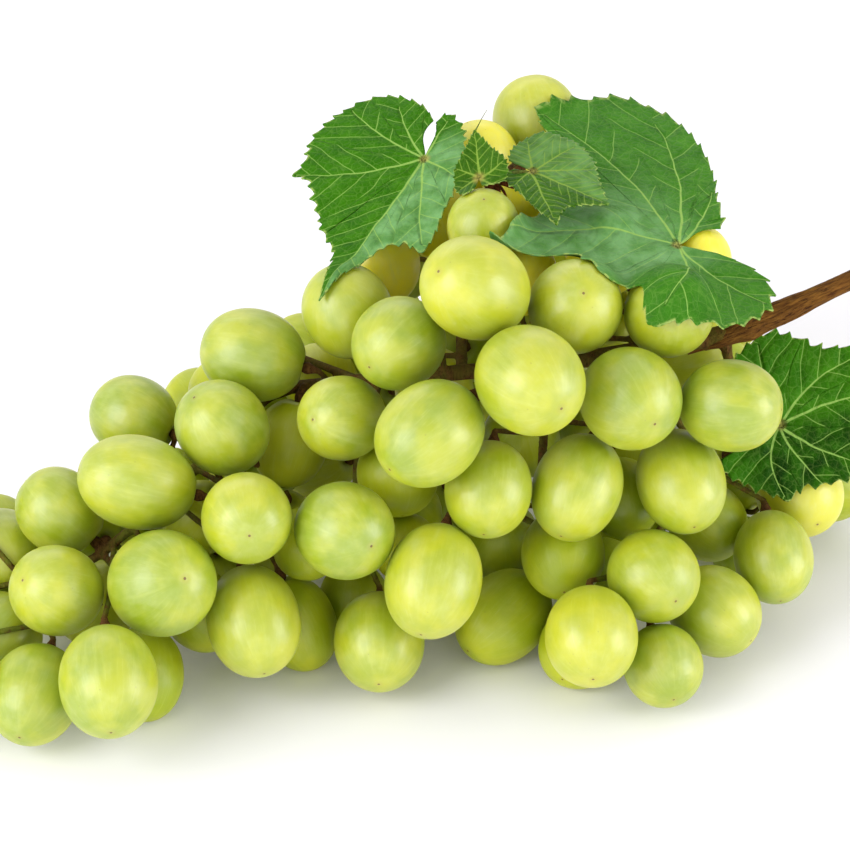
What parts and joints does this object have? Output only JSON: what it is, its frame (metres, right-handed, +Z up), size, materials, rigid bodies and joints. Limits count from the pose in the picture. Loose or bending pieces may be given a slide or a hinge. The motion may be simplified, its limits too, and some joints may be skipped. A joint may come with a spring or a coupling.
{
  "type": "bunch of grapes",
  "caption": "Bunch of white table grapes lying on its side, with a piece of woody cane, berry stalks and toothed vine leaves on top.",
  "frame": {"origin": "centre of the bunch's footprint, on the surface that it lies on", "axes": "+X along the bunch from its tip towards the woody cane, +Y away from the berries seen in front towards those at the back, +Z up out of the surface"},
  "size_m": [0.2376, 0.1772, 0.1052],
  "materials": {
    "grape_skin": "smooth translucent green-yellow skin with a faint bloom and small brown tip scars",
    "vine_bark": "rough dark brown bark on the cane, smoother brown on the stalks",
    "vine_leaf": "satin green blade with raised pale veins",
    "young_leaf": "pale green young blade, slightly downy"
  },
  "bodies": {
    "root": {"berry_01": "grape_skin", "berry_02": "grape_skin", "berry_03": "grape_skin", "berry_04": "grape_skin", "berry_05": "grape_skin", "berry_06": "grape_skin", "berry_07": "grape_skin", "berry_08": "grape_skin", "berry_09": "grape_skin", "berry_10": "grape_skin", "berry_11": "grape_skin", "berry_12": "grape_skin", "berry_13": "grape_skin", "berry_14": "grape_skin", "berry_15": "grape_skin", "berry_16": "grape_skin", "berry_17": "grape_skin", "berry_18": "grape_skin", "berry_19": "grape_skin", "berry_20": "grape_skin", "berry_21": "grape_skin", "berry_22": "grape_skin", "berry_23": "grape_skin", "berry_24": "grape_skin", "berry_25": "grape_skin", "berry_26": "grape_skin", "berry_27": "grape_skin", "berry_28": "grape_skin", "berry_29": "grape_skin", "berry_30": "grape_skin", "berry_31": "grape_skin", "berry_32": "grape_skin", "berry_33": "grape_skin", "berry_34": "grape_skin", "berry_35": "grape_skin", "berry_36": "grape_skin", "berry_37": "grape_skin", "berry_38": "grape_skin", "berry_39": "grape_skin", "berry_40": "grape_skin", "berry_41": "grape_skin", "berry_42": "grape_skin", "berry_43": "grape_skin", "berry_44": "grape_skin", "berry_45": "grape_skin", "berry_46": "grape_skin", "berry_47": "grape_skin", "berry_48": "grape_skin", "berry_49": "grape_skin", "berry_50": "grape_skin", "berries_under_leaf": "grape_skin", "berries_back": "grape_skin", "berries_beneath": "grape_skin", "berries_inside": "grape_skin", "stem": "vine_bark", "leaf_left": "vine_leaf", "leaf_big": "vine_leaf", "leaf_right": "vine_leaf", "leaf_young_left": "young_leaf", "leaf_young_right": "young_leaf"}
  },
  "joints": []
}
